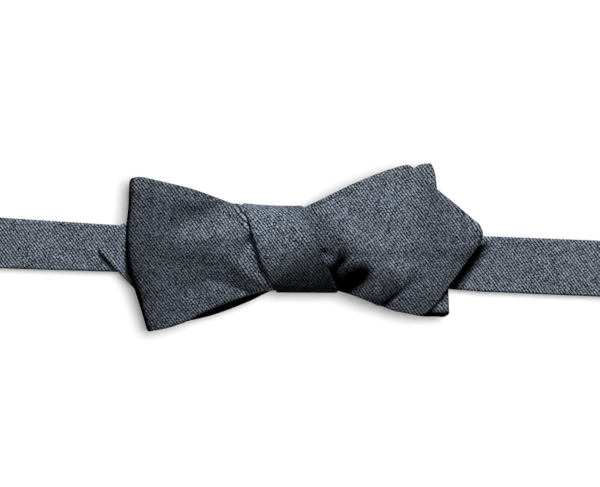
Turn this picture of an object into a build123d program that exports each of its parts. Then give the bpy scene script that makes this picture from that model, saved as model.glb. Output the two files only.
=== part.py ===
from build123d import *
import os

# Self-tied bow tie with diamond points, laid face up on a table and unhooked at the neck.
# +X runs along the neckband, +Y across it, +Z out of the face of the bow.
# The origin is on the table, under the middle of the knot.

os.makedirs("parts", exist_ok=True)

# Driving dimensions, mm.
PLY = 1.6                 # two cloth panels with the interlining between them
LAYER_GAP = 0.2           # air between plies that lie on each other
SEAM = 0.7                # seam allowance that closes the edge of a ply
INTERLINING = 0.6         # thickness of the interlining
EASE = 0.05               # room between interlining and panel

NECK_REACH = 105          # from the knot to the fold of each half of the neckband
LEFT_BACK_RUN_END = -36   # where the left half ends, on its way back under the bow
RIGHT_BACK_RUN_END = 88   # where the cloth of the right half ends and the size strap starts

KNOT_TOP = 15.7
KNOT_BOTTOM = -11.7
KNOT_SLANT = 25           # degrees between the edges of the knot wrap and the Y axis
KNOT_WIDTH = 19
KNOT_CENTRE_X = -1

RIBBON = 0.4              # thickness of the size strap
RIBBON_WIDTH = 12.6
WIRE_RADIUS = 0.45        # bars of the hook and of the eye
BAR_HEIGHT = 1.05         # height of those bars above the table
BAR_EASE = 0.1            # between a bar and the ribbon round it
RIBBON_TOP = BAR_HEIGHT + WIRE_RADIUS + BAR_EASE + RIBBON
RIBBON_BOTTOM = BAR_HEIGHT - WIRE_RADIUS - BAR_EASE - RIBBON
LOOP_LEG = 3              # how far the turn round the hook's bar counts as its own piece
STRAP_OVERLAP = 8         # where a ribbon lies on the end of a band and is sewn to it
HARDWARE_WIDTH = 16.8

EYE_BAR_X = -28
EYE_LENGTH = 10
HOOK_BAR_X = 26
HOOK_PLATE = 0.8
HOOK_FRAME_LENGTH = 6.5
HOOK_TONGUE_LENGTH = 3.5
HOOK_TONGUE_WIDTH = 5
SLIDER_X = 44
SLIDER_LENGTH = 9
SLIDER_BAR = 0.4
SLIDER_BAR_WIDTH = 2
SLIDER_RAIL = 0.8
SLIDER_RAIL_WIDTH = 1.5
SLIDER_HEM = 4.5          # length of strap that is turned back over the slider's bar
SLIDER_HEM_RADIUS = RIBBON + SLIDER_BAR / 2 + EASE

LABEL_X = -72
LABEL_LENGTH = 25
LABEL_WIDTH = 12
THREAD = 0.25

# How high the middle of each layer lies, counted from the table.
BACK_RUN, THROAT, FRONT_RUN, BACK_BLADE, LEFT_LOOP_REAR, RIGHT_LOOP_FRONT, FRONT_BOW, KNOT = (
    PLY / 2 + layer * (PLY + LAYER_GAP) for layer in range(8)
)

# The part of each bow inside the knot, as it meets the top and the bottom of the two wings.
WAIST_TOP = [(4.1, 12.4), (-16.8, 12.4)]
WAIST_BOTTOM = [(-6.2, -8.4), (15.6, -8.4)]


# Each outline is what is seen of a ply from above. A fold is made by the profile, so on that
# side the outline runs past the fold.
def front_bow_outline():
    points = [
        (-17.6, 14.9), (-33.2, 19.5), (-50.8, 23.2), (-60, 24), (-50, -28),
        (-44.8, -26.4), (-33.4, -22.6), (-24.4, -18), (-16.4, -14.4), (-7.3, -11),
        *WAIST_BOTTOM,
        (16.6, -11), (38.8, -17.8), (42.2, -17.2), (60.6, 9.2), (36.5, 29.8),
        (25.6, 27), (16.5, 23.3), (7.6, 18.1), (3.1, 15.2),
        *WAIST_TOP,
    ]
    return rounded(points, {(60.6, 9.2): 1.5, (36.5, 29.8): 1, (38.8, -17.8): 1.5})


def back_bow_outline():
    points = [
        (-17.6, 14.4), (-44, 19.2), (-62.8, -0.7), (-42, -21.5), (-24, -17), (-7.3, -10.6),
        *WAIST_BOTTOM,
        (17, -10.4), (38, -17), (54, -17.4), (47, 31.4), (41.2, 31), (25, 26), (8, 17), (3.3, 14.4),
        *WAIST_TOP,
    ]
    return rounded(points, {(-62.8, -0.7): 1.5})


def left_band_outline():
    return Polygon((0, 6.6), (0, -6.8), (-56.5, -7.6), (-110, -8.2), (-110, 8.1), (-56.5, 6.9), align=None)


def right_band_outline():
    return Polygon((0, 6.6), (0, -6.8), (60, -8.6), (110, -8.8), (110, 8.6), (60, 8.2), align=None)


def knot_outline():
    drop = KNOT_TOP - KNOT_BOTTOM
    slide = drop * tan_degrees(KNOT_SLANT)
    left_top = (KNOT_CENTRE_X - slide / 2 - KNOT_WIDTH / 2, KNOT_TOP)
    left_bottom = (KNOT_CENTRE_X + slide / 2 - KNOT_WIDTH / 2, KNOT_BOTTOM)
    right_bottom = (left_bottom[0] + KNOT_WIDTH, KNOT_BOTTOM)
    right_top = (left_top[0] + KNOT_WIDTH, KNOT_TOP)
    return Polygon(left_top, left_bottom, right_bottom, right_top, align=None)


def tan_degrees(angle):
    slope = Vector(1, 0).rotate(Axis.Z, angle)
    return slope.Y / slope.X


def rounded(points, radii):
    """A polygon with some of its corners rounded: radii gives a radius for each such corner."""
    outline = Polygon(*points, align=None)
    for (x, y), radius in radii.items():
        corner = outline.vertices().sort_by_distance((x, y, 0))[0]
        outline = fillet(corner, radius)
    return outline


# Profiles are drawn in the XZ plane. The inner and outer distances are from the middle of the ply.
def folded_profile(fold_x, low, high, low_end, high_end, inner, outer, trim=0):
    """A ply that comes from low_end at the low height, turns at fold_x and goes to high_end."""
    side = 1 if fold_x > low_end else -1
    turn = (high - low) / 2
    middle = (high + low) / 2
    turn_x = fold_x - side * (turn + PLY / 2)

    def slot(radius):
        run = Pos(turn_x - side * 100, middle) * Rectangle(200, 2 * radius)
        return run + Pos(turn_x, middle) * Circle(radius)

    def window(end, up):
        length = abs(fold_x - end) + 1 - trim
        start = fold_x + side
        return Pos(start - side * length / 2, middle + up * 10) * Rectangle(length, 20)

    return (slot(turn + outer) - slot(turn + inner)) & (window(low_end, -1) + window(high_end, 1))


def ring_profile(inner, outer, keep, trim=0):
    """The cloth round the middle of the bow, drawn in the YZ plane: keep is +1 for its front."""
    width = KNOT_TOP - KNOT_BOTTOM - PLY
    height = KNOT - THROAT
    corner = 3

    def loop(distance):
        return RectangleRounded(width + 2 * distance, height + 2 * distance, corner + distance)

    half = Pos(0, keep * (10 + trim)) * Rectangle(40, 20)
    return Pos((KNOT_TOP + KNOT_BOTTOM) / 2, (KNOT + THROAT) / 2) * ((loop(outer) - loop(inner)) & half)


def ply(outline, profile, direction):
    """Face panel, back panel and interlining of one sewn and turned ply."""
    cavity = PLY / 2 - (PLY - INTERLINING) / 2 + EASE
    plane = Plane.XZ if direction.Y else Plane.YZ

    def piece(inner, outer, inset=0, trim=0):
        seen_from_above = offset(outline, -inset) if inset else outline
        prism = extrude(seen_from_above, amount=20, dir=(0, 0, 1))
        slab = extrude(plane * profile(inner, outer, trim), amount=120, dir=direction, both=True)
        return prism & slab

    hollow = piece(-cavity, cavity, SEAM, SEAM)
    return {
        "face_panel": piece(0, PLY / 2) - hollow,
        "back_panel": piece(-PLY / 2, 0) - hollow,
        "interlining": piece(EASE - cavity, cavity - EASE, SEAM + EASE, SEAM + EASE),
    }


def front_bow():
    """The left loop, and the right blade that its front layer runs on into."""
    fold = Vector(0.18, -1, 0).normalized()

    def profile(inner, outer, trim):
        return folded_profile(-53.2, LEFT_LOOP_REAR, FRONT_BOW, 3, 70, inner, outer, trim)

    return ply(front_bow_outline(), profile, fold)


def back_bow():
    """The right loop, and the left blade that its rear layer runs on into."""
    fold = Vector(0.153, -1, 0).normalized()

    def profile(inner, outer, trim):
        return folded_profile(47.8, BACK_BLADE, RIGHT_LOOP_FRONT, -70, -3, inner, outer, trim)

    return ply(back_bow_outline(), profile, fold)


def band(outline, side, back_run_end):
    """Half of the neckband: out from the knot, folded, and back under itself."""

    def profile(inner, outer, trim):
        return folded_profile(side * NECK_REACH, BACK_RUN, FRONT_RUN, back_run_end, 0, inner, outer, trim)

    return ply(outline, profile, Vector(0, 1, 0))


def knot(keep):
    def profile(inner, outer, trim):
        return ring_profile(inner, outer, keep, trim)

    return ply(knot_outline(), profile, Vector(1, 0, 0))


def across(profile, width):
    """A profile in the XZ plane made into a solid of this width, centred on the neckband."""
    return extrude(Plane.XZ * profile, amount=width / 2, both=True)


def block(x_range, z_range, width):
    (x0, x1), (z0, z1) = x_range, z_range
    return across(Pos((x0 + x1) / 2, (z0 + z1) / 2) * Rectangle(x1 - x0, z1 - z0), width)


def turn_round_bar(bar_x, side, leg):
    """Ribbon round the far side of a bar, with a leg above and a leg below it."""
    inner = WIRE_RADIUS + BAR_EASE
    outer = inner + RIBBON
    legs = Pos(-side * leg / 2, 0) * (Rectangle(leg, 2 * outer) - Rectangle(leg, 2 * inner))
    half = Pos(side * outer / 2, 0) * Rectangle(outer, 2 * outer)
    return Pos(bar_x, BAR_HEIGHT) * (legs + ((Circle(outer) - Circle(inner)) & half))


def size_strap():
    """The ribbon in its three stretches: to the hook, round its bar, and back to the slider."""
    loop_end = HOOK_BAR_X + LOOP_LEG
    band_end = RIGHT_BACK_RUN_END + STRAP_OVERLAP
    turn_x = SLIDER_X + SLIDER_BAR_WIDTH / 2

    def slot(radius):
        run = Pos(turn_x - SLIDER_HEM / 2, RIBBON_BOTTOM + SLIDER_HEM_RADIUS) * Rectangle(SLIDER_HEM, 2 * radius)
        return run + Pos(turn_x, RIBBON_BOTTOM + SLIDER_HEM_RADIUS) * Circle(radius)

    hemmed_end = across(slot(SLIDER_HEM_RADIUS) - slot(SLIDER_HEM_RADIUS - RIBBON), RIBBON_WIDTH)
    under = block((loop_end, turn_x - SLIDER_HEM), (RIBBON_BOTTOM, RIBBON_BOTTOM + RIBBON), RIBBON_WIDTH)
    return {
        "main": block((loop_end, band_end), (RIBBON_TOP - RIBBON, RIBBON_TOP), RIBBON_WIDTH),
        "loop": across(turn_round_bar(HOOK_BAR_X, -1, LOOP_LEG), RIBBON_WIDTH),
        "return": under + hemmed_end,
    }


def slider():
    """Two rails above the strap and a bar below it, between two cheeks."""
    bar_z = RIBBON_BOTTOM + RIBBON + EASE
    rail_z = RIBBON_TOP + 0.2
    top = rail_z + SLIDER_RAIL
    cheek = (HARDWARE_WIDTH - RIBBON_WIDTH) / 2 - 0.6
    foot = SLIDER_BAR_WIDTH + 1
    cheek_side = Polygon(
        (-foot / 2, bar_z), (foot / 2, bar_z), (SLIDER_LENGTH / 2, rail_z), (SLIDER_LENGTH / 2, top),
        (-SLIDER_LENGTH / 2, top), (-SLIDER_LENGTH / 2, rail_z), align=None,
    )
    cheeks = across(cheek_side, HARDWARE_WIDTH) - block((-9, 9), (-9, 9), HARDWARE_WIDTH - 2 * cheek)
    body = cheeks + block((-SLIDER_BAR_WIDTH / 2, SLIDER_BAR_WIDTH / 2), (bar_z, bar_z + SLIDER_BAR), HARDWARE_WIDTH)
    for side in (-1, 1):
        rail_x = side * (SLIDER_LENGTH - SLIDER_RAIL_WIDTH) / 2
        ends = (rail_x - SLIDER_RAIL_WIDTH / 2, rail_x + SLIDER_RAIL_WIDTH / 2)
        body += block(ends, (rail_z, top), HARDWARE_WIDTH)
    body = fillet(body.edges().filter_by(Axis.Z), 0.6)
    return Pos(SLIDER_X, 0, 0) * body


def hook():
    """A frame with a bar for the strap, and a tongue that curls back over itself."""
    low = BAR_HEIGHT - HOOK_PLATE / 2
    frame_front = HOOK_BAR_X - HOOK_FRAME_LENGTH
    window_front = frame_front + 1.7
    window_back = HOOK_BAR_X + 1
    curl = (HOOK_PLATE + 2 * WIRE_RADIUS + BAR_EASE) / 2
    turn_x = frame_front - HOOK_TONGUE_LENGTH + curl + HOOK_PLATE / 2

    plan = Pos(HOOK_BAR_X - HOOK_FRAME_LENGTH / 2, 0) * Rectangle(HOOK_FRAME_LENGTH, HARDWARE_WIDTH)
    plan = fillet(plan.vertices().sort_by(Axis.X)[:2], 2.5)
    window = Pos((window_front + window_back) / 2, 0) * Rectangle(window_back - window_front, RIBBON_WIDTH + 1.2)
    frame = Pos(0, 0, low) * extrude(plan - window, amount=HOOK_PLATE)
    bar = Pos(HOOK_BAR_X, 0, BAR_HEIGHT) * Rot(90, 0, 0) * Cylinder(WIRE_RADIUS, HARDWARE_WIDTH)

    arc = Circle(curl + HOOK_PLATE / 2) - Circle(curl - HOOK_PLATE / 2)
    arc &= Pos(-5, 0) * Rectangle(10, 10)
    tongue = across(Pos(turn_x, BAR_HEIGHT + curl) * arc, HOOK_TONGUE_WIDTH)
    for base in (low, low + 2 * curl):
        tongue += block((turn_x, frame_front + 1), (base, base + HOOK_PLATE), HOOK_TONGUE_WIDTH)
    return frame + bar + tongue


def eye():
    """A loop of round wire, longer than the hook's tongue is thick."""
    half = HARDWARE_WIDTH / 2 - WIRE_RADIUS
    far = EYE_BAR_X + EYE_LENGTH - WIRE_RADIUS
    corners = [(EYE_BAR_X, half), (far, half), (far, -half), (EYE_BAR_X, -half)]
    route = Pos(0, 0, BAR_HEIGHT) * FilletPolyline(*corners, radius=1.6, close=True)
    start = Plane(origin=route @ 0, z_dir=route % 0)
    return sweep(start * Circle(WIRE_RADIUS), path=route)


def eye_tab():
    """Ribbon round the bar of the eye. Its upper leg lies on the end of the band."""
    gap = EYE_BAR_X - LEFT_BACK_RUN_END
    turn = across(turn_round_bar(EYE_BAR_X, 1, gap), RIBBON_WIDTH)
    lap = (LEFT_BACK_RUN_END - STRAP_OVERLAP, LEFT_BACK_RUN_END)
    return turn + block(lap, (RIBBON_TOP - RIBBON, RIBBON_TOP), RIBBON_WIDTH)


def box_stitch(centre_x, base_z):
    """A sewn rectangle of thread on top of a ribbon."""
    outer = Rectangle(STRAP_OVERLAP - 1.5, RIBBON_WIDTH - 2)
    inner = Rectangle(STRAP_OVERLAP - 1.5 - 4 * THREAD, RIBBON_WIDTH - 2 - 4 * THREAD)
    return Pos(centre_x, 0, base_z) * extrude(outer - inner, amount=THREAD)


def bar_stitch():
    """Thread between the strap and its hemmed end, beside the bar of the slider."""
    centre = SLIDER_X - SLIDER_BAR_WIDTH / 2 - 1.6
    heights = (RIBBON_BOTTOM + RIBBON, RIBBON_BOTTOM + 2 * SLIDER_HEM_RADIUS - RIBBON)
    return block((centre - 0.6, centre + 0.6), heights, RIBBON_WIDTH - 1.6)


def neck_label():
    return block((LABEL_X - LABEL_LENGTH / 2, LABEL_X + LABEL_LENGTH / 2), (PLY, PLY + 0.25), LABEL_WIDTH)


def label_stitches():
    """A row of thread across each end of the label."""
    rows = []
    for end in (-1, 1):
        row_x = LABEL_X + end * (LABEL_LENGTH / 2 - 1.2)
        rows.append(block((row_x - THREAD, row_x + THREAD), (PLY + 0.25, PLY + 0.25 + THREAD), LABEL_WIDTH - 1))
    return Compound(rows)


def sub_parts():
    plies = {
        "front_bow": front_bow(),
        "back_bow": back_bow(),
        "knot_wrap": knot(1),
        "throat_turn": knot(-1),
        "left_band": band(left_band_outline(), -1, LEFT_BACK_RUN_END),
        "right_band": band(right_band_outline(), 1, RIGHT_BACK_RUN_END),
        "size_strap": size_strap(),
    }
    for stretch, pieces in plies.items():
        for piece, solid in pieces.items():
            yield f"{stretch}_{piece}", solid
    yield "slider", slider()
    yield "hook", hook()
    yield "eye", eye()
    yield "eye_tab", eye_tab()
    yield "slider_bar_stitch", bar_stitch()
    yield "size_strap_stitch", box_stitch(RIGHT_BACK_RUN_END + STRAP_OVERLAP / 2, RIBBON_TOP)
    yield "eye_tab_stitch", box_stitch(LEFT_BACK_RUN_END - STRAP_OVERLAP / 2, RIBBON_TOP)
    yield "neck_label", neck_label()
    yield "neck_label_stitches", label_stitches()


for name, solid in sub_parts():
    export_step(solid, f"parts/{name}.step")
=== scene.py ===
import math

import bpy
import numpy as np
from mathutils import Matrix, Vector


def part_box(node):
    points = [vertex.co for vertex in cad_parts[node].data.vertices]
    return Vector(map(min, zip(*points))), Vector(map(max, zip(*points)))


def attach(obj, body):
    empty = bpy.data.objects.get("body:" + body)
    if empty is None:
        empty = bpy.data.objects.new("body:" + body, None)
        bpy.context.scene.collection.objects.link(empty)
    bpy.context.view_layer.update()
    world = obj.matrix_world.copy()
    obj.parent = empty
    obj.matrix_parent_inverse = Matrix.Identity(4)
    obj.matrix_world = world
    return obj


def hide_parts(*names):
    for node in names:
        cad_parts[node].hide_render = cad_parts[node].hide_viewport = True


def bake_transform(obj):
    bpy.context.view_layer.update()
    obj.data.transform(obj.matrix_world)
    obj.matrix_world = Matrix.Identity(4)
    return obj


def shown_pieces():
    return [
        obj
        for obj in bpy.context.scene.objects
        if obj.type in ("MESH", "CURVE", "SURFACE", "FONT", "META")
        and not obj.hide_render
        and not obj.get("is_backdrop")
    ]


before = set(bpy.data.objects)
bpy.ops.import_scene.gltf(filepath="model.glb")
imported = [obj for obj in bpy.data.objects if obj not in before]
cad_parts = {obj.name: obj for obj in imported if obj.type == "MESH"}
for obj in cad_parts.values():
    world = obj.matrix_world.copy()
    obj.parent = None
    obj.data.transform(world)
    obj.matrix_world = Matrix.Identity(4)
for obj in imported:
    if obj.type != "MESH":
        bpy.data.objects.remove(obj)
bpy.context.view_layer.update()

# Lengths in this script are millimetres, and become metres when a mesh is made.
MM = 0.001


def box_mm(node):
    low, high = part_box(node)
    return np.array(low) / MM, np.array(high) / MM


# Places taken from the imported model.
PLY = box_mm("size_strap_main")[0][2]
LAYER_GAP = 0.2
LEVEL = PLY + LAYER_GAP
knot_low, knot_high = box_mm("knot_wrap_face_panel")
KNOT_TOP = knot_high[1]
KNOT_BOTTOM = knot_low[1]
KNOT_MIDDLE = (KNOT_TOP + KNOT_BOTTOM) / 2
KNOT_SPLIT = knot_low[2]
THROAT = box_mm("throat_turn_face_panel")[0][2] + PLY / 2
BACK_RUN = PLY / 2
FRONT_RUN = box_mm("left_band_face_panel")[1][2] - PLY / 2
BACK_BLADE = FRONT_RUN + LEVEL
LEFT_LOOP_REAR = BACK_BLADE + LEVEL
RIGHT_LOOP_FRONT = LEFT_LOOP_REAR + LEVEL
FRONT_BOW = RIGHT_LOOP_FRONT + LEVEL
REACH = box_mm("right_band_face_panel")[1][0]


# ---------------------------------------------------------------- curves and patches
def curve(*points):
    """A smooth line through points, as a function of the share of its length."""
    points = np.array(points, float)
    steps = np.linalg.norm(np.diff(points, axis=0), axis=1)
    place = np.concatenate([[0], np.cumsum(steps)]) / steps.sum()
    slope = np.gradient(points, place, axis=0)

    def at(share):
        share = np.clip(share, 0, 1)
        k = np.clip(np.searchsorted(place, share, side="right") - 1, 0, len(place) - 2)
        gap = (place[k + 1] - place[k])[..., None]
        f = (share - place[k])[..., None] / gap
        rise = 3 * f**2 - 2 * f**3
        return (
            (1 - rise) * points[k] + rise * points[k + 1]
            + (f**3 - 2 * f**2 + f) * gap * slope[k] + (f**3 - f**2) * gap * slope[k + 1]
        )

    return at


def cornered(first, second, split):
    """One line made of two that meet in a corner, at the share split."""

    def at(share):
        before = first(np.clip(share / split, 0, 1))
        after = second(np.clip((share - split) / (1 - split), 0, 1))
        return np.where((share < split)[..., None], before, after)

    return at


def patch(bottom, top, start, end):
    """The flat sheet between four lines: s runs from start to end, t from bottom to top."""

    def at(s, t):
        s, t = np.broadcast_arrays(s, t)
        sx, tx = s[..., None], t[..., None]
        zero, one = np.zeros_like(s), np.ones_like(s)
        sides = (1 - tx) * bottom(s) + tx * top(s) + (1 - sx) * start(t) + sx * end(t)
        corners = (
            (1 - sx) * (1 - tx) * bottom(zero) + sx * (1 - tx) * bottom(one)
            + (1 - sx) * tx * top(zero) + sx * tx * top(one)
        )
        return sides - corners

    return at


def smooth(x, low, high):
    """0 up to low and 1 from high on, with a soft step between them."""
    x = np.clip((x - low) / (high - low), 0, 1)
    return x * x * (3 - 2 * x)


def mark(x, y, start, end, width, height):
    """A soft ridge or valley of this height along a short line."""
    (x0, y0), (x1, y1) = start, end
    length2 = (x1 - x0) ** 2 + (y1 - y0) ** 2
    along = np.clip(((x - x0) * (x1 - x0) + (y - y0) * (y1 - y0)) / length2, 0, 1)
    away2 = (x - x0 - along * (x1 - x0)) ** 2 + (y - y0 - along * (y1 - y0)) ** 2
    return height * np.exp(-away2 / width**2)


def ripple(x, y, size, phase):
    """The slight unevenness of pressed cloth."""
    wide = np.sin(0.17 * x + 0.23 * y + phase) * np.sin(0.13 * x - 0.19 * y + 2 * phase)
    fine = np.sin(0.53 * x - 0.31 * y + 3 * phase) * np.sin(0.29 * x + 0.47 * y + phase)
    return size * (wide + 0.35 * fine)


def marks(x, y, places):
    """All of these soft ridges and valleys together."""
    return sum(mark(x, y, *place) for place in places)


# ---------------------------------------------------------------- meshes
# shares from one sewn edge of a ply to the other, closer together near the edges
T = 0.5 - 0.5 * np.cos(np.linspace(0, math.pi, 57))


def normals(grid):
    """The direction out of the face of the sheet at each point of the grid."""
    along = np.gradient(grid, axis=0)
    across = np.gradient(grid, axis=1)
    n = np.cross(across, along)
    return n / np.maximum(np.linalg.norm(n, axis=2, keepdims=True), 1e-9)


def edge_distance(grid, open_ends):
    """How far each point is from the sewn edge of the ply."""
    steps = np.linalg.norm(np.diff(grid, axis=1), axis=2)
    from_bottom = np.concatenate([np.zeros((len(grid), 1)), np.cumsum(steps, axis=1)], axis=1)
    distance = np.minimum(from_bottom, from_bottom[:, -1:] - from_bottom)
    middle = grid[:, grid.shape[1] // 2]
    travel = np.concatenate([[0], np.cumsum(np.linalg.norm(np.diff(middle, axis=0), axis=1))])
    if "first" in open_ends:
        distance = np.minimum(distance, travel[:, None])
    if "last" in open_ends:
        distance = np.minimum(distance, (travel[-1] - travel)[:, None])
    return distance


def add_mesh(name, points, faces, uv, material, shade=None):
    """A smooth object with cloth coordinates and, for twill, the painted shade at each point."""
    faces = faces if isinstance(faces, list) else faces.tolist()
    mesh = bpy.data.meshes.new(name)
    mesh.from_pydata((points * MM).tolist(), [], faces)
    mesh.validate()
    layer = mesh.uv_layers.new(name="Cloth")
    corner = np.zeros(len(mesh.loops), int)
    mesh.loops.foreach_get("vertex_index", corner)
    layer.data.foreach_set("uv", uv[corner].astype(np.float32).ravel())
    # painted shade: a darkening at each point that the twill material mixes towards black
    if shade is not None:
        fold = mesh.attributes.new("Painted_shade", "FLOAT", "POINT")
        fold.data.foreach_set("value", shade.astype(np.float32))
    mesh.materials.append(material)
    piece = bpy.data.objects.new(name, mesh)
    bpy.context.scene.collection.objects.link(piece)
    mesh.shade_smooth()
    return piece


def grid_faces(rows, columns, first=0, turned=False):
    i, j = np.meshgrid(np.arange(rows - 1), np.arange(columns - 1), indexing="ij")
    a = (first + i * columns + j).ravel()
    quads = np.stack([a, a + 1, a + columns + 1, a + columns], axis=1)
    return quads[:, ::-1] if turned else quads


def slab(name, outer, inner, uv, material, shade=None):
    """A closed sheet between two grids of points."""
    rows, columns = outer.shape[:2]
    count = rows * columns
    index = np.arange(count).reshape(rows, columns)
    rim = np.concatenate([index[0, :], index[1:, -1], index[-1, -2::-1], index[-2:0:-1, 0]])
    after = np.roll(rim, -1)
    sides = np.stack([rim, rim + count, after + count, after], axis=1)
    faces = np.concatenate([
        grid_faces(rows, columns), grid_faces(rows, columns, count, turned=True), sides,
    ])
    points = np.concatenate([outer.reshape(-1, 3), inner.reshape(-1, 3)])
    shade = np.zeros((rows, columns)) if shade is None else shade
    both_uv = np.concatenate([uv, uv]).reshape(-1, 2)
    both_shades = np.concatenate([shade, shade]).ravel()
    return add_mesh(name, points, faces, both_uv, material, both_shades)


def cloth_uv(grid, anchor, sign, turn):
    """Cloth coordinates in mm, equal to X and Y at the anchor row and running on round the turn."""
    step = np.diff(grid, axis=0)
    climb = np.zeros_like(step[..., 2])
    climb[turn] = step[turn][..., 2]
    advance = np.cumsum(np.hypot(step[..., 0], climb), axis=0)
    travel = np.concatenate([np.zeros((1, grid.shape[1])), advance])
    u = grid[anchor, :, 0] + sign * (travel - travel[anchor])
    return np.stack([u, grid[..., 1]], axis=2)


SEAM_ROUND = 0.9          # width of the rounded edge of a ply
EDGE_HALF = 0.02          # half thickness that is left at the very edge
PANEL_INSIDE = 0.45       # inner side of a panel, as a share of the half thickness
LINING_SIDE = 0.4         # side of the interlining, as the same share
SEAM_COLUMNS = 4          # columns of the grid that the interlining leaves free at each edge


def sewn(name, grid, face_uv, back_uv, open_ends=(), shade=None, body="bow_and_band"):
    """Face panel, back panel and interlining of one ply whose middle is this grid."""
    n = normals(grid)
    share = np.clip(edge_distance(grid, open_ends) / SEAM_ROUND, 0, 1)
    half = (PLY / 2) * np.sqrt(1 - (1 - share) ** 2) + EDGE_HALF
    half = half[..., None]
    inner = PANEL_INSIDE * half - EDGE_HALF / 4
    pieces = [
        slab(name + "_face", grid + n * half, grid + n * inner, face_uv, TWILL, shade),
        slab(name + "_back", grid - n * inner, grid - n * half, back_uv, TWILL, shade),
    ]
    core = slice(SEAM_COLUMNS, -SEAM_COLUMNS)
    fill = LINING_SIDE * half
    above, below = (grid + n * fill)[:, core], (grid - n * fill)[:, core]
    pieces.append(slab(name + "_lining", above, below, face_uv[:, core], LINING))
    for piece, panel in zip(pieces, ("face_panel", "back_panel", "interlining")):
        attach(piece, body)
        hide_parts(f"{name}_{panel}")
        declare(grid)
    return pieces


def declare(grid):
    """Measures the cloth of this piece along and across, and keeps nothing."""
    along = np.linalg.norm(np.diff(grid, axis=0), axis=2)
    across = np.linalg.norm(np.diff(grid, axis=1), axis=2)


# ---------------------------------------------------------------- materials
def srgb(red, green, blue):
    def linear(c):
        c /= 255
        return c / 12.92 if c <= 0.04045 else ((c + 0.055) / 1.055) ** 2.4

    return linear(red), linear(green), linear(blue), 1


class Graph:
    """A material's nodes, with short calls for the ones used most."""

    def __init__(self, name):
        self.material = bpy.data.materials.new(name)
        self.material.use_nodes = True
        self.tree = self.material.node_tree
        self.shader = self.tree.nodes["Principled BSDF"]

    def set(self, socket, value):
        if isinstance(value, bpy.types.NodeSocket):
            self.tree.links.new(value, socket)
        elif value is not None:
            socket.default_value = value

    def math(self, operation, *values):
        node = self.tree.nodes.new("ShaderNodeMath")
        node.operation = operation
        for socket, value in zip(node.inputs, values):
            self.set(socket, value)
        return node.outputs[0]

    def add(self, kind, **inputs):
        node = self.tree.nodes.new("ShaderNode" + kind)
        for name, value in inputs.items():
            self.set(node.inputs[name.replace("_", " ")], value)
        return node

    def mix(self, share, first, second, blend="MIX"):
        node = self.tree.nodes.new("ShaderNodeMix")
        node.data_type = "RGBA"
        node.blend_type = blend
        self.set(node.inputs["Factor"], share)
        self.set(node.inputs[6], first)
        self.set(node.inputs[7], second)
        return node.outputs[2]

    def cloth(self):
        """The cloth coordinates in mm: both together, along U and along V."""
        uv = self.tree.nodes.new("ShaderNodeUVMap")
        uv.uv_map = "Cloth"
        parts = self.add("SeparateXYZ", Vector=uv.outputs[0])
        return uv.outputs[0], parts.outputs[0], parts.outputs[1]

    def noise(self, place, scale, detail=2.0):
        return self.add("TexNoise", Vector=place, Scale=scale, Detail=detail).outputs[0]

    def bump(self, height, strength, distance):
        node = self.add("Bump", Height=height, Strength=strength, Distance=distance)
        self.set(self.shader.inputs["Normal"], node.outputs[0])

    def finish(self, colour, roughness, **fixed):
        self.set(self.shader.inputs["Base Color"], colour)
        self.set(self.shader.inputs["Roughness"], roughness)
        for name, value in fixed.items():
            self.shader.inputs[name.replace("_", " ")].default_value = value
        return self.material


def threads(g, u, v, angle, pitch, float_length, wander):
    """Slanting lines of short thread floats: their height, and a random number for each float."""
    c, s = math.cos(angle), math.sin(angle)
    across = g.math("ADD", g.math("MULTIPLY", u, s / pitch), g.math("MULTIPLY", v, c / pitch))
    across = g.math("ADD", across, g.math("MULTIPLY", wander, 0.4))
    line = g.math("FLOOR", across)
    ridge = g.math("SINE", g.math("MULTIPLY", g.math("FRACT", across), math.pi))
    forward, back = g.math("MULTIPLY", u, c / float_length), g.math("MULTIPLY", v, s / float_length)
    along = g.math("SUBTRACT", forward, back)
    along = g.math("ADD", along, g.add("TexWhiteNoise", Vector=line).outputs["Value"])
    along = g.math("ADD", along, wander)
    spot = g.math("FLOOR", along)
    bulge = g.math("SINE", g.math("MULTIPLY", g.math("FRACT", along), math.pi))
    cell = g.add("CombineXYZ", X=line, Y=spot)
    chance = g.add("TexWhiteNoise", Vector=cell.outputs[0]).outputs["Value"]
    return ridge, bulge, chance


TWILL_ANGLE = math.radians(50.5)
TWILL_PITCH = 0.84        # from one slanting line to the next
TWILL_FLOAT = 1.0         # length of one float of thread along its line


def make_twill():
    g = Graph("twill")
    place, u, v = g.cloth()
    wander = g.noise(place, 0.7)
    ridge, bulge, chance = threads(g, u, v, TWILL_ANGLE, TWILL_PITCH, TWILL_FLOAT, wander)
    height = g.math("MULTIPLY", ridge, g.math("MULTIPLY_ADD", bulge, 0.4, 0.6))
    light = g.math("MULTIPLY", height, g.math("MULTIPLY_ADD", chance, 0.3, 0.81))
    # single fibres that catch the light or leave a gap
    fibre = g.add("SeparateColor", Color=g.add("TexVoronoi", Vector=place, Scale=4.6).outputs["Color"])
    fibre = g.math("SUBTRACT", fibre.outputs[0], 0.5)
    light = g.math("ADD", light, g.math("MULTIPLY", fibre, 0.85))
    light = g.math("MULTIPLY", light, g.math("MULTIPLY_ADD", g.noise(place, 0.06), 0.2, 0.9))
    light = g.math("MULTIPLY_ADD", light, 1.18, -0.37)
    dark, bright = srgb(4, 6, 10), srgb(190, 203, 222)
    colour = g.mix(light, dark, bright)
    # painted shade: the attribute darkens the cloth's colour towards black where shade falls
    fold = g.add("Attribute")
    fold.attribute_name = "Painted_shade"
    colour = g.mix(fold.outputs["Fac"], colour, (0, 0, 0, 1))
    g.bump(height, 0.5, 0.00015)
    return g.finish(colour, 0.9, Specular_IOR_Level=0.0)


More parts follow.
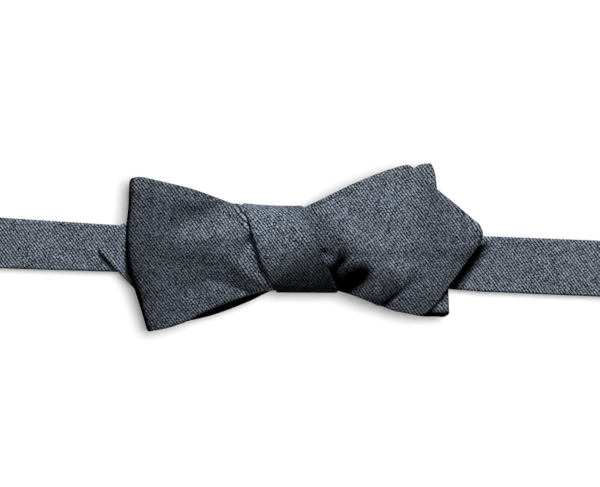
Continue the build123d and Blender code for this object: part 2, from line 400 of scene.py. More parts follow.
def make_lining():
    g = Graph("interlining")
    place, u, v = g.cloth()
    warp, weft = (g.math("SINE", g.math("MULTIPLY", way, 9)) for way in (u, v))
    weave = g.math("MULTIPLY", warp, weft)
    colour = g.mix(g.noise(place, 0.8), srgb(214, 209, 196), srgb(236, 232, 222))
    g.bump(weave, 0.5, 0.0001)
    return g.finish(colour, 0.9, Specular_IOR_Level=0.2)


def make_ribbon():
    g = Graph("ribbon")
    place, u, v = g.cloth()
    rib = g.math("ABSOLUTE", g.math("SINE", g.math("MULTIPLY", u, 5.2)))
    colour = g.mix(g.math("MULTIPLY", rib, g.noise(place, 3)), srgb(20, 23, 31), srgb(66, 74, 90))
    g.bump(rib, 0.7, 0.00012)
    return g.finish(colour, 0.6, Sheen_Weight=0.1, Specular_IOR_Level=0.35)


def make_thread():
    g = Graph("thread")
    place = g.add("TexCoord").outputs["Object"]
    twist = g.add("TexWave", Vector=place, Scale=900.0, Distortion=2.0).outputs[1]
    colour = g.mix(twist, srgb(28, 33, 44), srgb(78, 88, 106))
    g.bump(twist, 0.5, 0.00005)
    return g.finish(colour, 0.55, Sheen_Weight=0.1, Specular_IOR_Level=0.4)


def make_label():
    g = Graph("label")
    place, u, v = g.cloth()
    rib = g.math("ABSOLUTE", g.math("SINE", g.math("MULTIPLY", v, 8)))
    colour = g.mix(g.noise(place, 1.2), srgb(214, 211, 200), srgb(240, 238, 230))
    g.bump(rib, 0.4, 0.00006)
    return g.finish(colour, 0.5, Sheen_Weight=0.1, Specular_IOR_Level=0.45)


def make_metal():
    g = Graph("nickel")
    place = g.add("TexCoord").outputs["Object"]
    brushed = g.add("Mapping", Vector=place, Scale=(60, 1200, 60)).outputs[0]
    grain = g.noise(brushed, 8, 4)
    wear = g.noise(place, 350, 3)
    colour = g.mix(wear, srgb(176, 174, 170), srgb(208, 207, 204))
    rough = g.math("MULTIPLY_ADD", grain, 0.25, 0.2)
    g.bump(grain, 0.12, 0.00005)
    return g.finish(colour, rough, Metallic=1.0)


TWILL = make_twill()
LINING = make_lining()
RIBBON_CLOTH = make_ribbon()
THREAD = make_thread()
LABEL = make_label()
METAL = make_metal()


# ---------------------------------------------------------------- the two bows
def arch(y, spread):
    """1 in the middle of the bow and 0 at its top and bottom, as the knot squeezes it."""
    away = np.clip(np.abs(y - KNOT_MIDDLE) / spread, 0, 1)
    return (1 - away**2.4) ** (1 / 2.4)


# Outlines of the bow's layers, as (X, Y) seen from above.
WAIST = curve((6.0, -9.2), (0, 2), (-6.4, 12.4))
LEFT_FOLD = curve(
    (-44.4, -26), (-48.4, -14.4), (-52.0, -4.8), (-52.5, 4.9), (-52.1, 14), (-52.1, 19),
    (-51.9, 21.4), (-51.2, 22.1),
)


def left_loop_front():
    bottom = curve(
        (6.0, -9.2), (-4.2, -10.4), (-10.3, -12.2), (-16.4, -14.3), (-22.4, -16.8),
        (-28.4, -19.7), (-32.6, -22.2), (-38.7, -24.6), (-44.4, -26),
    )
    top = curve(
        (-6.4, 12.6), (-15.4, 14.2), (-17.8, 14.9), (-23.3, 16.7), (-33.2, 19.7),
        (-43.2, 21.7), (-46.5, 22.3), (-49.6, 22.6), (-51.2, 22.1),
    )
    return patch(bottom, top, WAIST, LEFT_FOLD)


def left_loop_rear():
    bottom = curve(
        (6.0, -9.6), (-3.9, -11.0), (-7.2, -12.1), (-13.5, -15.2), (-19.7, -18.0),
        (-26, -20.4), (-32.6, -22.3), (-38.7, -24.7), (-44.4, -26),
    )
    top = curve(
        (-6.4, 12.0), (-16.5, 13.6), (-23.3, 16), (-33.2, 18.9),
        (-43.2, 21.4), (-46.5, 22.1), (-49.6, 22.5), (-51.2, 22.1),
    )
    return patch(bottom, top, WAIST, LEFT_FOLD)


CORNER = 0.62             # share of a blade's length at which its edges turn in to the tip


def right_blade():
    bottom = cornered(
        curve((6.0, -9.2), (14.6, -10.7), (24.7, -13.5), (31.1, -15.8), (40.0, -17.4)),
        curve((40.0, -17.4), (42.4, -16.7), (43.9, -15.2), (49.4, -7.4), (58.9, 7.6)), CORNER,
    )
    top = cornered(
        curve(
            (-6.4, 12.4), (1.2, 13.9), (2.6, 15.1), (7.6, 17.9), (13.8, 21.3),
            (20.1, 24.5), (26.4, 27.3), (31.5, 29.2), (34.8, 30.0), (36.4, 29.2),
        ),
        curve((36.4, 29.2), (44.7, 22.4), (51.5, 17.3), (58.1, 11.7)), CORNER,
    )
    tip = curve((58.9, 7.6), (59.5, 8.9), (59.2, 10.3), (58.1, 11.7))
    return patch(bottom, top, WAIST, tip)


def right_loop_front():
    bottom = curve(
        (6.0, -8.0), (15, -8.8), (24, -11.8), (34, -15.0),
        (41, -17.3), (46, -17.4), (48.6, -17.4), (49.3, -17.0),
    )
    top = curve(
        (-6.4, 12.4), (3, 14), (9, 17.4), (18, 22.0), (27, 26.0),
        (34, 28.2), (36.6, 29.0), (38.4, 30.2), (41.4, 30.9),
    )
    fold = curve(
        (49.3, -17.0), (49.2, -16.0), (48.6, -9), (46.7, 8), (43.7, 22.6), (42.5, 28.6), (41.4, 30.9),
    )
    return patch(bottom, top, WAIST, fold)


def left_blade():
    bottom = cornered(
        curve((6.0, -8.6), (-6, -9.4), (-24, -15.2), (-42.2, -20.4)),
        curve((-42.2, -20.4), (-61.7, -1.5)), CORNER,
    )
    top = cornered(
        curve((-6.4, 12.4), (-17, 13.0), (-30, 13.9), (-44, 14.6)),
        curve((-44, 14.6), (-53.2, 8.4), (-56.8, 6.6), (-61.9, 0.8)), CORNER,
    )
    tip = curve((-61.7, -1.5), (-62.4, -0.3), (-61.9, 0.8))
    return patch(bottom, top, WAIST, tip)


KNOT_X = -1
KNOT_SLANT = math.radians(25)


def from_knot(x, y):
    """Distance along X from the slanting middle line of the knot."""
    return np.abs(x - KNOT_X + (y - KNOT_MIDDLE) * math.tan(KNOT_SLANT))


# The slanting edges of the knot.
LEFT_EDGE = curve(
    (-17.9, 16.2), (-17.3, 15.2), (-15.0, 11.0), (-12.8, 5.4), (-10.1, -2.4), (-7.4, -7.5), (-4.6, -12.0),
)
RIGHT_EDGE = curve(
    (1.6, 16.2), (2.4, 14.8), (4.4, 10.4), (7.1, 3.5), (9.2, -0.4), (11.5, -4.7), (14.9, -12.0),
)


def edge_x(edge, y):
    """Where along X this line is at each height y."""
    line = edge(np.linspace(0, 1, 200))
    line = line[np.argsort(line[:, 1])]
    return np.interp(y, line[:, 1], line[:, 0])


def near_edge(edge, x, y, width):
    """1 along this edge of the knot, fading out on the side away from the knot."""
    away = (x - edge_x(edge, y)) * (1 if edge is RIGHT_EDGE else -1)
    return np.exp(-np.clip(away, 0, None) ** 2 / width**2)


def beside(edge, x, y, distance, width):
    """1 on a line this far outside an edge of the knot, fading out on both sides of it."""
    away = (x - edge_x(edge, y)) * (1 if edge is RIGHT_EDGE else -1)
    return np.exp(-((away - distance) ** 2) / width**2)


WING_CREST = 14.4         # top of the wings where the knot squeezes them
KNOT_CREST = 17.4         # top of the knot
LOW_EDGE = LEFT_LOOP_REAR + 1.9   # lower edge of the front bow's upper layer
BULGE = 2.6               # how far the middle of a wing stands above its ply

# Where the cloth of the front bow rises or sinks: a line, its half width, its height.
RELIEF = [
    # right wing: a swell and a pit beside the knot, the crease and the swell above it
    ((12.0, 7.0), (27.0, 3.0), 3.2, 0.6),
    ((9.9, 1.7), (10.3, 1.3), 1.1, -0.8),
    ((30.0, -14.0), (38.0, -6.2), 1.3, -0.6),
    ((27.0, -10.4), (33.5, -3.6), 2.2, 0.4),
    # left wing: the dent beside the knot, the ridge under it, the fold near the bottom and a swell
    ((-12.9, 5.6), (-16.4, 2.2), 1.7, -1.3),
    ((-21, -1.0), (-10, -9.2), 2.0, 0.9),
    ((-27, -8.6), (-13, -10.6), 2.0, -0.8),
    ((-22, 9.0), (-34, 8.0), 6.0, 0.5),
]
# Where it is drawn down beside the knot, in the same terms, down to a rounded floor.
HOLLOWS = [
    ((13.6, -9.6), (20.0, -6.0), 3.0, -5.0),
    ((19.0, -6.6), (21.9, -4.6), 2.0, -3.2),
    ((11.8, -5.0), (15.3, -0.8), 1.8, -3.4),
]
HOLLOW_FLOOR = FRONT_BOW - 2.2
HOLLOW_ROUND = 0.5


def front_bow_height(plan, t):
    """How high the upper layer of the front bow lies, from its lower edge (t = 0) to its upper one."""
    x, y = plan[..., 0], plan[..., 1]
    squeezed = 1 - smooth(from_knot(x, y), 9, 30)
    left = 1 - smooth(x, -10, 5)
    towards_end = smooth(np.abs(x), 30, 56)
    towards_tip = smooth(x, 36, 56)
    crest = FRONT_BOW + BULGE - 1.4 * towards_end - 1.2 * towards_tip
    crest_at = 0.5 + 0.12 * left
    rise = 1 - (1 - np.clip(t / crest_at, 0, 1)) ** (2.6 - 1.2 * left)
    fall = np.clip((t - crest_at) / (1 - crest_at), 0, 1) ** 1.6
    free = LOW_EDGE + (crest - LOW_EDGE) * rise - 1.6 * fall
    spread = 12.8 + 3.4 * smooth(x, 5, 14)
    pinched = LEFT_LOOP_REAR + (WING_CREST - LEFT_LOOP_REAR) * arch(y, spread)
    z = free * (1 - squeezed) + squeezed * pinched + ripple(x, y, 0.2, 0.7)
    # the cloth dips where it goes under the knot, and lies up against the knot at the upper left
    z -= 0.9 * near_edge(LEFT_EDGE, x, y, 1.4) * (1 - smooth(y, 0, 4.5))
    z -= 0.8 * near_edge(RIGHT_EDGE, x, y, 1.4)
    z += 1.3 * beside(LEFT_EDGE, x, y, 1.6, 1.3) * smooth(y, 5, 9)
    z += marks(x, y, RELIEF)
    floor = np.minimum(z, HOLLOW_FLOOR)
    above_floor = z + marks(x, y, HOLLOWS) - floor
    drawn_down = floor + HOLLOW_ROUND * np.log1p(np.exp(above_floor / HOLLOW_ROUND))
    z = np.where(x > 0, np.minimum(drawn_down, z), z)
    # the tip hangs past the loop behind it
    return z - 1.4 * smooth(x, 42, 60)


# Painted patches of the front bow: painted shade, or painted highlight where the last number is below 0:
# a line, its half width, its strength. The knot shares one of them.
KNOT_PATCH = ((3.0, 14.0), (13.5, 3.5), 4.5, 0.4)
PATCHES = [
    # left wing, from its top to its bottom and its outer fold
    ((-49, 20.5), (-41, 19.5), 3.0, -0.25),
    ((-38, 13.4), (-25, 14.0), 1.8, 0.25),
    ((-38, 9.5), (-29, 11.5), 2.8, 0.3),
    ((-33, 6.0), (-15, 7.5), 4.5, -0.36),
    ((-38, -1.5), (-28, -2.5), 3.0, 0.22),
    ((-36, -8.0), (-24, -13.0), 4.5, 0.12),
    ((-31, -15.2), (-23, -13.0), 3.0, -0.36),
    ((-53, -1), (-49, -14), 3.0, 0.3),
    # the dent beside the knot and the ridge under it
    ((-13.5, 5.8), (-14.6, 4.2), 1.0, 0.6),
    ((-14.6, 4.4), (-16.6, 1.4), 1.2, 0.5),
    ((-15.5, -3.4), (-11.0, -6.8), 2.0, -0.22),
    # right wing: beside the knot, inside the hollow, round the crease and towards the tip
    KNOT_PATCH,
    ((9.5, 1.8), (10.3, 1.2), 1.6, 0.5),
    ((13.0, -5.8), (18.5, -2.4), 1.6, 0.12),
    ((24.0, -4.5), (32.0, -6.5), 3.2, 0.35),
    ((30.0, -13.4), (38.0, -6.0), 1.0, 0.6),
    ((33.0, -12.5), (43.0, -14.5), 4.0, 0.25),
    ((42, 22), (43.5, 10), 3.0, 0.12),
]
# Painted shade patches that end at the crease of the right wing.
PATCHES_TO_CREASE = [
    ((17.0, -11.0), (29.0, -14.0), 2.2, 0.4),
    ((21.0, -8.5), (30.0, -10.5), 4.0, 0.4),
]


def front_bow_shade(grid):
    """Painted shade of the front bow, lighter in the painted highlight patches and black in the hollows:
    0 none, 1 black.
    """
    x, y = grid[..., 0], grid[..., 1]
    # painted shade over the whole left wing and towards the right tip
    painted_dark = 0.36 * (1 - smooth(x, -20, -12)) + 0.16 * (1 - smooth(x, -46, -37)) + 0.22 * smooth(x, 33, 43)
    painted_dark += marks(x, y, PATCHES)
    # painted shade along the knot's left edge and along the left wing's outer fold
    painted_dark += near_edge(LEFT_EDGE, x, y, 0.6) * (1 - smooth(y, 0, 5)) * (x < 0)
    painted_dark += 0.55 * np.exp(-((x - edge_x(LEFT_FOLD, y)) ** 2) / 0.9**2) * (x < -40)
    past_crease = x - 29.1 - 1.07 * (y + 14.15)
    painted_dark += marks(x, y, PATCHES_TO_CREASE) * smooth(past_crease, 1.5, 0.3)
    # painted black deep in the hollows beside the knot
    deep = sum(mark(x, y, start, end, width, 1.5) for start, end, width, depth in HOLLOWS)
    return np.clip(painted_dark + deep * (x > 0), 0, 1)


# Lower edges of the blades, along which a shadow is painted on what lies under them.
RIGHT_BLADE_EDGE = curve((40.9, -17.4), (43.9, -15.2), (49.4, -7.4), (59.0, 7.6))
LEFT_BLADE_EDGE = curve((-42.2, -20.4), (-61.7, -1.5))


def painted_blade_shadow(edge, grid, width, tip):
    """Painted shadow along the lower edge of a blade, on the cloth that lies under it, below the tip's
    height.
    """
    x, y = grid[..., 0], grid[..., 1]
    away = np.abs(x) - np.abs(edge_x(edge, y))
    outside = (away > -width) * (x * edge(np.array(0.5))[0] > 0)
    fade = 1 - smooth(away, 0.6 * width, 1.6 * width)
    return fade * outside * smooth(y, tip, tip - 1.8)


def rows_of_loop(front, rear, front_z, rear_z, bulge, first, turn, last):
    """Rows from the knot along the first layer, round the fold and back along the other."""
    angle = np.linspace(0, math.pi, turn + 2)
    s = np.concatenate([
        np.linspace(0, 1 - bulge, first), 1 - bulge + bulge * np.sin(angle[1:-1]),
        np.linspace(1 - bulge, 0, last),
    ])[:, None]
    side = np.concatenate([np.ones(first), np.cos(angle[1:-1]), -np.ones(last)])[:, None]
    t = T[None, :]
    upper, lower = front(s, t), rear(s, t)
    share = (1 + side[..., None]) / 2
    plan = upper * share + lower * (1 - share)
    high, low = front_z(upper, t), rear_z(lower, t)
    z = (high + low) / 2 + side * (high - low) / 2
    return np.concatenate([plan, z[..., None]], axis=2)


def rows_of_blade(plan_at, height, count):
    """Rows from the tip of a blade to the knot."""
    beyond = np.linspace(1, CORNER, count // 2, endpoint=False)
    s = np.concatenate([beyond, np.linspace(CORNER, 0, count - len(beyond), endpoint=False)])[:, None]
    plan = plan_at(s, T[None, :])
    return np.concatenate([plan, height(plan, T[None, :])[..., None]], axis=2)


def left_loop_rear_height(plan, t):
    """The bottom edge of the rear layer curls down, away from the front layer."""
    x, y = plan[..., 0], plan[..., 1]
    curl = (1 - np.clip(t / 0.14, 0, 1)) ** 2 * (1 - smooth(-x, 28, 42)) * smooth(-x, 4, 12)
    return LEFT_LOOP_REAR + ripple(x, y, 0.08, 1.9) - 2.4 * curl


def back_blade_height(plan, t):
    """The back bow's lower layer is nearly flat."""
    x, y = plan[..., 0], plan[..., 1]
    return BACK_BLADE + ripple(x, y, 0.08, 0.4)


def right_loop_height(plan, t):
    """The right loop is squeezed by the knot too, and stays below the right blade."""
    x, y = plan[..., 0], plan[..., 1]
    squeezed = 1 - smooth(from_knot(x, y), 8, 30)
    z = RIGHT_LOOP_FRONT - 0.2 + ripple(x, y, 0.08, 1.1)
    z = z * (1 - squeezed) + squeezed * (BACK_BLADE + 0.9 + 2.6 * arch(y, 14.6))
    return np.minimum(z, front_bow_height(plan, t) - PLY - 0.1)


FOLD_SHARE = 0.06         # share of a loop's length that goes into its fold
TURN_ROWS = 15            # rows of the grid round that fold


def front_bow():
    front_rows, rear_rows = 90, 60
    blade = rows_of_blade(right_blade(), front_bow_height, 110)
    loop = rows_of_loop(
        left_loop_front(), left_loop_rear(), front_bow_height, left_loop_rear_height,
        FOLD_SHARE, front_rows, TURN_ROWS, rear_rows,
    )
    grid = np.concatenate([blade, loop])
    turn_start = len(blade) + front_rows
    turn_end = turn_start + TURN_ROWS
    uv = cloth_uv(grid, len(blade), -1, slice(turn_start, turn_end))
    shade = front_bow_shade(grid)
    # painted shade on the rear layer: black on the strip that curls out below the front layer, none above
    # it
    shade[turn_end:] = 1 - smooth(T, 0.16, 0.26)
    return sewn("front_bow", grid, uv, uv, open_ends=("first",), shade=shade)


def back_bow():
    layer_rows = 60
    blade = rows_of_blade(left_blade(), back_blade_height, 90)
    loop = rows_of_loop(
        right_loop_front(), right_loop_front(), right_loop_height, back_blade_height,
        FOLD_SHARE, layer_rows, TURN_ROWS, layer_rows,
    )[::-1]
    grid = np.concatenate([blade, loop])
    turn_start = len(blade) + layer_rows
    turn = slice(turn_start, turn_start + TURN_ROWS)
    face_uv = cloth_uv(grid, len(grid) - 1, 1, turn)
    face_uv = np.stack([2 * grid[-1, :, 0] - face_uv[..., 0], face_uv[..., 1]], axis=2)
    back_uv = cloth_uv(grid, 0, 1, turn)
    # painted shade: black along the right loop's bottom edge, and a painted shadow of the right blade's
    # edge
    shade = smooth(-grid[..., 1], 14.9, 16.2) * (grid[..., 0] > 0)
    shade = np.maximum(shade, painted_blade_shadow(RIGHT_BLADE_EDGE, grid, 0.9, 6.2) * (grid[..., 0] > 38))
    return sewn("back_bow", grid, face_uv, back_uv, open_ends=("first",), shade=shade)


front_bow()
back_bow()


# ---------------------------------------------------------------- the knot
def knot_rows(first_angle, last_angle, count, top, squareness):
    """The wrap as rows round the bow, from below it over its front or behind it."""
    angle = np.radians(np.linspace(first_angle, last_angle, count))[:, None]
    side = 2 * T[None, :] - 1
    spread = (KNOT_TOP - KNOT_BOTTOM - PLY) / 2
    power = 2 / squareness
    away = -np.sign(np.cos(angle)) * np.abs(np.cos(angle)) ** power
    lift = np.abs(np.sin(angle)) ** power * (1 + 0.22 * away * (top > KNOT_SPLIT))
    y = KNOT_MIDDLE + spread * away + 0 * side
    x = edge_x(LEFT_EDGE, y) * (1 - side) / 2 + edge_x(RIGHT_EDGE, y) * (1 + side) / 2
    rise = top - KNOT_SPLIT
    barrel = np.where(side < 0, 0.9 * np.abs(side) ** 3.2, 2.4 * np.abs(side) ** 2.4)
    z = KNOT_SPLIT + (rise - np.sign(rise) * barrel) * lift
    y = y + 0.35 * side * np.clip(-away, 0, 1) ** 2 + 0.4 * np.clip(away, 0, 1) ** 4 * (side**2 - 0.6)
    return np.stack([x, y, z], axis=2)


def knot_uv(grid):
    """Cloth coordinates in mm that run along X and round the knot."""
    step = np.diff(grid, axis=0)
    advance = np.cumsum(np.hypot(step[..., 1], step[..., 2]), axis=0)
    travel = np.concatenate([np.zeros((1, grid.shape[1])), advance])
    middle = len(grid) // 2
    v = KNOT_MIDDLE + travel - travel[middle]
    return np.stack([grid[..., 0], v], axis=2)


def knot():
    """The wrap with two shallow creases down its front, and the turn behind the bow."""
    front = knot_rows(-2, 182, 110, KNOT_CREST, 2)
    x, y = front[..., 0], front[..., 1]
    front[..., 2] += marks(x, y, [((-9, 9), (-2, -8), 2.2, -0.25), ((1, 12), (7.5, 0), 1.6, -0.3)])
    uv = knot_uv(front)
    # painted shade: darker towards the bottom and the lower right of the knot, and in the patch it shares
    # with the right wing
    shade = 0.72 * smooth(0.7 * (x - y), -4, 6) + 0.16 * smooth(x, 5, 10) * smooth(-y, -2, 4)
    shade = np.maximum(0.88 * smooth(-y, 6.8, 9.6), shade)
    shade = np.maximum(shade, mark(x, y, *KNOT_PATCH))
    sewn("knot_wrap", front, uv, uv, shade=shade)
    rear = knot_rows(0, -180, 90, THROAT, 4)[:, ::-1]
    uv = knot_uv(rear)
    # painted shade on the turn behind the knot, darkest just under the split
    under = 0.95 * smooth(-rear[..., 1], 4, 9) * smooth(rear[..., 2], 3, KNOT_SPLIT)
    sewn("throat_turn", rear, uv, uv, shade=under)


knot()


# ---------------------------------------------------------------- the neckband
RUN_ROWS = 120            # rows of the grid along the front run of a neckband
BEND_ROWS = 19            # and round its fold
BACK_ROWS = 100           # and along its way back


def band(name, side, half_widths, back_end):
    """Half of the neckband: out from the knot, folded, and back under itself."""
    radius = (FRONT_RUN - BACK_RUN) / 2
    middle = (FRONT_RUN + BACK_RUN) / 2
    turn_x = REACH - radius - PLY / 2
    angle = np.linspace(0, math.pi, BEND_ROWS + 2)[1:-1]
    x = np.concatenate([
        np.linspace(0, turn_x, RUN_ROWS), turn_x + radius * np.sin(angle),
        np.linspace(turn_x, back_end, BACK_ROWS),
    ])[:, None]
    z = np.concatenate([
        np.full(RUN_ROWS, FRONT_RUN), middle + radius * np.cos(angle), np.full(BACK_ROWS, BACK_RUN),
    ])[:, None]
    places, tops, bottoms = np.array(half_widths).T
    top, bottom = np.interp(x, places, tops), np.interp(x, places, bottoms)
    y = bottom + (top - bottom) * T[None, :]
    x = x * np.ones_like(y)
    front = (z > middle) * smooth(x, 0, 30) * (1 - smooth(x, 80, 100))
    z = z + front * ripple(x, y, 0.16, 2.3 + side)
    grid = np.stack([side * x, y, z], axis=2)
    if side > 0:
        grid = grid[:, ::-1]
    uv = cloth_uv(grid, 0, side, slice(RUN_ROWS, RUN_ROWS + BEND_ROWS + 1))
    # painted shadow of the blade's lower edge on the front run
    if side > 0:
        shade = painted_blade_shadow(RIGHT_BLADE_EDGE, grid, 4.0, 7.2)
    else:
        shade = painted_blade_shadow(LEFT_BLADE_EDGE, grid, 0.8, -1.0)
    shade = shade * (z > middle)
    return sewn(name, grid, uv, uv, open_ends=("last",), shade=shade)


# Half widths: distance from the knot, then the upper and the lower edge there.
LEFT_WIDTHS = [(0, 6.6, -6.8), (56.5, 7.2, -7.7), (110, 8.4, -8.3)]
RIGHT_WIDTHS = [(0, 6.6, -6.8), (60, 8.6, -9.1), (110, 8.8, -9.1)]
LEFT_BACK_END = 36 - box_mm("left_band_face_panel")[1][0]
RIGHT_BACK_END = 88
band("left_band", -1, LEFT_WIDTHS, LEFT_BACK_END)
band("right_band", 1, RIGHT_WIDTHS, RIGHT_BACK_END)


# ---------------------------------------------------------------- ribbons, label and stitches
BAR_HEIGHT = 1.05         # bars of the hook and of the eye, above the table
LOOP_RADIUS = 0.75        # of a ribbon's middle round such a bar
RIBBON = 0.4
RIBBON_WIDTH = 12.6
HOOK_BAR_X = 26
EYE_BAR_X = -28
LOOP_END = 29             # where the turn round the hook's bar ends
STRAP_START = 96          # end of the strap on the neckband
SLIDER_X = 44
HEM_RADIUS = 0.45         # of the hem round the slider's bar
HEM_LENGTH = 4.5
TAB_LAP = (-36, -44)      # lower and upper end of the eye's tab
UPPER = BAR_HEIGHT + LOOP_RADIUS
LOWER = BAR_HEIGHT - LOOP_RADIUS
LABEL_X = -72
LABEL_LENGTH = 25
LABEL_WIDTH = 12
LABEL_THICK = 0.25
STITCHED_WIDTH = 5.4      # how far rows of stitches reach to each side


def bend(centre_x, centre_z, radius, first, last):
    """Points (x, z) round a bend, from one angle in degrees to another."""
    angle = np.radians(np.linspace(first, last, 17))
    return np.stack([centre_x + radius * np.cos(angle), centre_z + radius * np.sin(angle)], axis=1)


def run(start, end, height):
    """Points (x, z) along a straight, level stretch."""
    x = np.linspace(start, end, max(int(abs(end - start) * 1.5), 3))
    return np.stack([x, np.full(len(x), height)], axis=1)


def strip(node, stretches, width, thickness, material):
    """A flat woven piece that runs along these stretches of (x, z) points."""
    path = np.concatenate(stretches)
    step = np.linalg.norm(np.diff(path, axis=0), axis=1)
    keep = np.concatenate([[True], step > 1e-3])
    path, travel = path[keep], np.concatenate([[0], np.cumsum(step[step > 1e-3])])
    across = -width / 2 + width * T[None, :]
    x, z, y = path[:, 0:1] + 0 * across, path[:, 1:2] + 0 * across, across + 0 * path[:, 0:1]
    grid = np.stack([x, y, z], axis=2)
    share = np.clip(edge_distance(grid, ()) / (thickness / 2), 0, 1)[..., None]
    half = (thickness / 2) * np.sqrt(1 - 0.9 * (1 - share) ** 2)
    n = normals(grid)
    uv = np.stack([travel[:, None] + 0 * across, y], axis=2)
    piece = slab(node, grid + n * half, grid - n * half, uv, material)
    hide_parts(node)
    return piece, grid


def size_strap():
    """The strap: its turn round the hook, its long run and its hemmed return. Its turn
    round the hook is too short to be declared alone.
    """
    turn = [
        run(LOOP_END, HOOK_BAR_X, UPPER), bend(HOOK_BAR_X, BAR_HEIGHT, LOOP_RADIUS, 90, 270),
        run(HOOK_BAR_X, LOOP_END, LOWER),
    ]
    loop, grid = strip("size_strap_loop", turn, RIBBON_WIDTH, RIBBON, RIBBON_CLOTH)
    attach(loop, "strap_loop")
    long_run = [run(STRAP_START, LOOP_END, UPPER)]
    main, grid = strip("size_strap_main", long_run, RIBBON_WIDTH, RIBBON, RIBBON_CLOTH)
    declare(grid)
    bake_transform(main)
    hem_x = SLIDER_X + 1
    back = [
        run(LOOP_END, hem_x, LOWER), bend(hem_x, LOWER + HEM_RADIUS, HEM_RADIUS, -90, 90),
        run(hem_x, hem_x - HEM_LENGTH, LOWER + 2 * HEM_RADIUS),
    ]
    under, grid = strip("size_strap_return", back, RIBBON_WIDTH, RIBBON, RIBBON_CLOTH)
    declare(grid)
    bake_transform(under)


def eye_tab():
    tab = [
        run(TAB_LAP[1], EYE_BAR_X, UPPER), bend(EYE_BAR_X, BAR_HEIGHT, LOOP_RADIUS, 90, -90),
        run(EYE_BAR_X, TAB_LAP[0], LOWER),
    ]
    piece, grid = strip("eye_tab", tab, RIBBON_WIDTH, RIBBON, RIBBON_CLOTH)
    declare(grid)
    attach(piece, "bow_and_band")


def thread_mesh(node, paths, radius, body):
    """Round threads along these paths, as one piece."""
    points, faces = [], []
    ring = np.radians(np.arange(0, 360, 45))
    steep = (0.31, 0.17, 0.94)
    for path in paths:
        path = np.array(path, float)
        along = np.gradient(path, axis=0)
        along /= np.linalg.norm(along, axis=1, keepdims=True)
        side = np.cross(along, steep)
        side /= np.linalg.norm(side, axis=1, keepdims=True)
        up = np.cross(side, along)
        place = np.linspace(-1, 1, len(path))
        girth = radius * np.sqrt(np.clip(1.02 - place**8, 0, 1))
        first = len(points)
        for centre, s, u, r in zip(path, side, up, girth):
            points += [centre + r * (math.cos(a) * s + math.sin(a) * u) for a in ring]
        count = len(ring)
        for k in range(len(path) - 1):
            row = first + k * count
            for j in range(count):
                after = (j + 1) % count
                faces.append([row + j, row + after, row + count + after, row + count + j])
        faces.append(list(range(first, first + count))[::-1])
        faces.append(list(range(len(points) - count, len(points))))
    piece = add_mesh(node, np.array(points), faces, np.zeros((len(points), 2)), THREAD)
    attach(piece, body)
    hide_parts(node)


def stitches(start, end, length=1.5, gap=0.6, height=0.12):
    """Stitches between two points on a surface: each rises from it, runs over it and dives back."""
    start, end = np.array(start, float), np.array(end, float)
    whole = np.linalg.norm(end - start)
    count = max(round(whole / (length + gap)), 1)
    step = (end - start) / count
    share = np.linspace(0, length / (length + gap), 9)
    rise = height * np.sqrt(np.clip(1 - np.linspace(-1, 1, 9) ** 4, 0, 1)) - 0.02
    for k in range(count):
        path = start + step * (k + share[:, None])
        path[:, 2] += rise
        yield path


def box_of_stitches(centre_x, base):
    """Four rows of stitches round a rectangle."""
    half_x, half_y = 3.1, 5.1
    corners = [
        (centre_x - half_x, -half_y, base), (centre_x + half_x, -half_y, base),
        (centre_x + half_x, half_y, base), (centre_x - half_x, half_y, base),
    ]
    for corner, following in zip(corners, corners[1:] + corners[:1]):
        yield from stitches(corner, following)


def label_and_stitches():
    half = LABEL_LENGTH / 2
    middle, face = PLY + LABEL_THICK / 2, PLY + LABEL_THICK
    flat = [run(LABEL_X - half, LABEL_X + half, middle)]
    label, grid = strip("neck_label", flat, LABEL_WIDTH, LABEL_THICK, LABEL)
    declare(grid)
    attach(label, "bow_and_band")
    reach = STITCHED_WIDTH
    rows = []
    for x in (LABEL_X - half + 1.2, LABEL_X + half - 1.2):
        rows += stitches((x, -reach, face), (x, reach, face), 1.1, 0.5, 0.13)
    thread_mesh("neck_label_stitches", rows, 0.11, "bow_and_band")
    top = UPPER + RIBBON / 2
    thread_mesh("size_strap_stitch", box_of_stitches(92, top), 0.12, "bow_and_band")
    thread_mesh("eye_tab_stitch", box_of_stitches(-40, top), 0.12, "bow_and_band")
    # the thread that holds the hem of the strap, between its two layers
    low, high = LOWER + RIBBON / 2, LOWER + 2 * HEM_RADIUS - RIBBON / 2
    y = np.linspace(-reach, reach, 109)
    x = SLIDER_X - 2.6 + 0.35 * np.cos(4 * y)
    z = (low + high) / 2 + (high - low) / 2 * np.sin(4 * y)
    thread_mesh("slider_bar_stitch", [np.stack([x, y, z], axis=1)], 0.12, "slider")


size_strap()
eye_tab()
label_and_stitches()


# ---------------------------------------------------------------- metal
for node in ("slider", "hook", "eye"):
    piece = bpy.data.objects[node]
    piece.data.materials.clear()
    piece.data.materials.append(METAL)


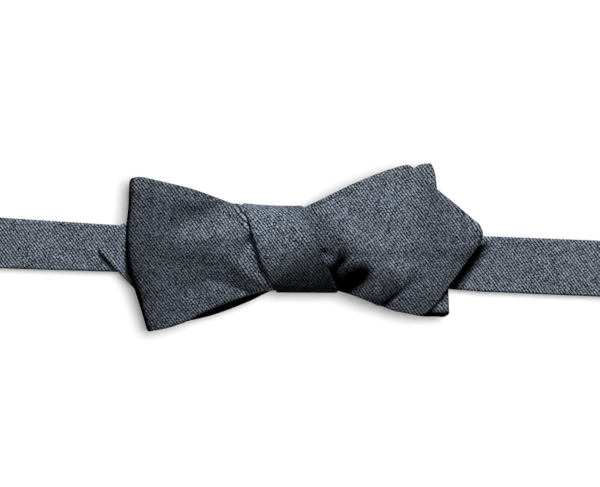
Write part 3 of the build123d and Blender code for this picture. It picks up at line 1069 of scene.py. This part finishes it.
# ---------------------------------------------------------------- stage
def make_stage():
    """A pale floor, a dim room, and lamps of which each lights the tie or the floor alone."""
    bpy.ops.mesh.primitive_plane_add(size=6, location=(0, 0, -0.00005))
    floor = bpy.context.object
    floor.name = "floor"
    g = Graph("floor")
    seen = g.add("LightPath").outputs["Is Camera Ray"]
    colour = g.mix(seen, (0.12, 0.12, 0.12, 1), (0.97, 0.97, 0.97, 1))
    floor.data.materials.append(g.finish(colour, 0.9, Specular_IOR_Level=0.0))
    floor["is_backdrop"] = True

    world = bpy.data.worlds.new("studio")
    bpy.context.scene.world = world
    world.use_nodes = True
    tree = world.node_tree
    light, sky = tree.nodes["Background"], tree.nodes.new("ShaderNodeBackground")
    light.inputs["Color"].default_value = (1, 1, 1, 1)
    light.inputs["Strength"].default_value = 0.07
    sky.inputs["Color"].default_value = (0.95, 0.95, 0.95, 1)
    path, choose = tree.nodes.new("ShaderNodeLightPath"), tree.nodes.new("ShaderNodeMixShader")
    tree.links.new(path.outputs["Is Camera Ray"], choose.inputs[0])
    tree.links.new(light.outputs[0], choose.inputs[1])
    tree.links.new(sky.outputs[0], choose.inputs[2])
    tree.links.new(choose.outputs[0], tree.nodes["World Output"].inputs[0])

    lamp("key", elevation=38, azimuth=4, energy=3.1, spread=10, lit=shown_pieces())
    lamp("front fill", elevation=10, azimuth=180, energy=0.45, spread=60, lit=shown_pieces())
    lamp("overhead", elevation=73, azimuth=60, energy=2.6, spread=30, lit=[floor])
    lamp("floor fill", elevation=88, azimuth=0, energy=0.6, spread=1, lit=[floor]).use_shadow = False


def lamp(name, elevation, azimuth, energy, spread, lit):
    """Soft light from the top edge of the bow, turned by azimuth towards +X, on these objects only."""
    sun = bpy.data.lights.new(name, "SUN")
    sun.energy = energy
    sun.angle = math.radians(spread)
    holder = bpy.data.objects.new(name, sun)
    up, turn = math.radians(elevation), math.radians(azimuth)
    direction = Vector((math.sin(turn) * math.cos(up), math.cos(turn) * math.cos(up), math.sin(up)))
    holder.rotation_euler = direction.to_track_quat("Z", "Y").to_euler()
    bpy.context.scene.collection.objects.link(holder)
    group = bpy.data.collections.new(name + "_lights")
    for thing in lit:
        group.objects.link(thing)
    holder.light_linking.receiver_collection = group
    return sun


def make_camera():
    """Straight above the bow, with the neckband running slightly downhill to the right."""
    lens, sensor = 150, 36
    view_width = 192
    data = bpy.data.cameras.new("camera")
    data.lens = lens
    data.sensor_width = sensor
    camera = bpy.data.objects.new("camera", data)
    camera.location = (1.8 * MM, 3.8 * MM, view_width * lens / sensor * MM)
    camera.rotation_euler = (0, 0, math.radians(2.41))
    data.clip_start, data.clip_end = 0.01, 10
    bpy.context.scene.collection.objects.link(camera)
    bpy.context.scene.camera = camera
    bpy.context.scene.view_settings.view_transform = "Standard"


make_stage()
make_camera()
